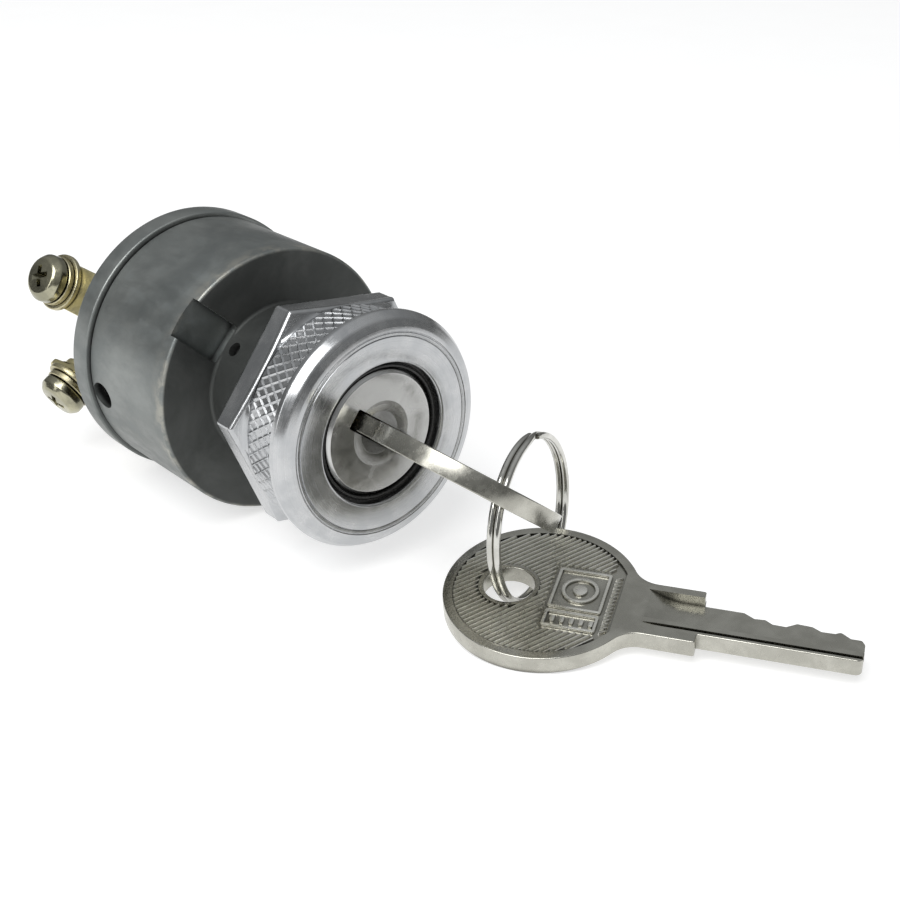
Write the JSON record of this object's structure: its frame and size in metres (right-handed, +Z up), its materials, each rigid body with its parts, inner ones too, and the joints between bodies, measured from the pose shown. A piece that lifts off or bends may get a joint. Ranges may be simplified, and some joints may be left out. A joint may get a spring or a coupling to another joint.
{
  "type": "selector key switch",
  "caption": "Key-operated rotary selector switch: metal cup body with rear screw terminals, threaded panel stem, knurled bezel nut, inserted key and spare key on a split ring.",
  "frame": {"origin": "centre of the switch axis in the plane of the shoulder that seats against the back of the panel", "axes": "-Y out of the front of the switch towards the operator, along the switch axis; +Y towards the terminals; +Z up from the table it lies on; +X to the right as seen from the front"},
  "size_m": [0.0465, 0.1192, 0.0384],
  "materials": {
    "zinc_casting": "as-cast zinc alloy, matt grey and lightly worn",
    "polished_nut": "turned and polished, satin front face",
    "seal_rubber": "matt",
    "cap_steel": "stainless, finely turned",
    "plug_brass": "machined",
    "spring_steel": "drawn wire",
    "rotor_nylon": "moulded, natural",
    "phenolic": "moulded, dark brown-black",
    "terminal_brass": "pressed strip, yellow-passivated",
    "washer_steel": "yellow-passivated zinc plate",
    "screw_steel": "zinc plate, slightly dull",
    "key_nickel": "nickel-plated, tumbled",
    "ring_steel": "bright plated wire"
  },
  "bodies": {
    "switch_body": {"housing": "zinc_casting", "bezel_nut": "polished_nut", "seal_ring": "seal_rubber", "plug_pin": "spring_steel", "return_spring": "spring_steel", "terminal_base": "phenolic", "base_gasket": "seal_rubber", "terminal_1": "terminal_brass", "terminal_2": "terminal_brass", "terminal_3": "terminal_brass", "terminal_4": "terminal_brass", "fixed_contacts": "terminal_brass", "flat_washers": "washer_steel", "spring_washers": "washer_steel", "terminal_screws": "screw_steel"},
    "lock_core": {"plug_cap": "cap_steel", "lock_plug": "plug_brass", "tumbler_wafers": "terminal_brass", "wafer_springs": "spring_steel", "drive_blade": "spring_steel", "contact_rotor": "rotor_nylon", "detent_ball": "spring_steel", "detent_spring": "spring_steel", "contact_bridge": "terminal_brass", "bridge_spring": "spring_steel"},
    "inserted_key": {"key": "key_nickel"},
    "ring": {"key_ring": "ring_steel"},
    "loose_key": {"spare_key": "key_nickel"}
  },
  "joints": [
    {"name": "key_turn", "type": "hinge", "parent": "switch_body", "child": "lock_core", "pos_m": [0, 0, 0], "axis": [0, 1, 0], "range_deg": [0, 70]},
    {"name": "key_withdraw", "type": "slide", "parent": "lock_core", "child": "inserted_key", "axis": [0, -1, 0], "range_m": [0, 0.026]},
    {"name": "ring_swing", "type": "hinge", "parent": "inserted_key", "child": "ring", "pos_m": [0.00167, -0.04276, -0.00149], "axis": [0.574, 0.2943, 0.7642], "range_deg": [-40, 40]},
    {"name": "spare_key_swing", "type": "hinge", "parent": "ring", "child": "loose_key", "pos_m": [0.00326, -0.04322, -0.01624], "axis": [-0.7255, -0.2501, 0.6412], "range_deg": [-8, 30]}
  ]
}
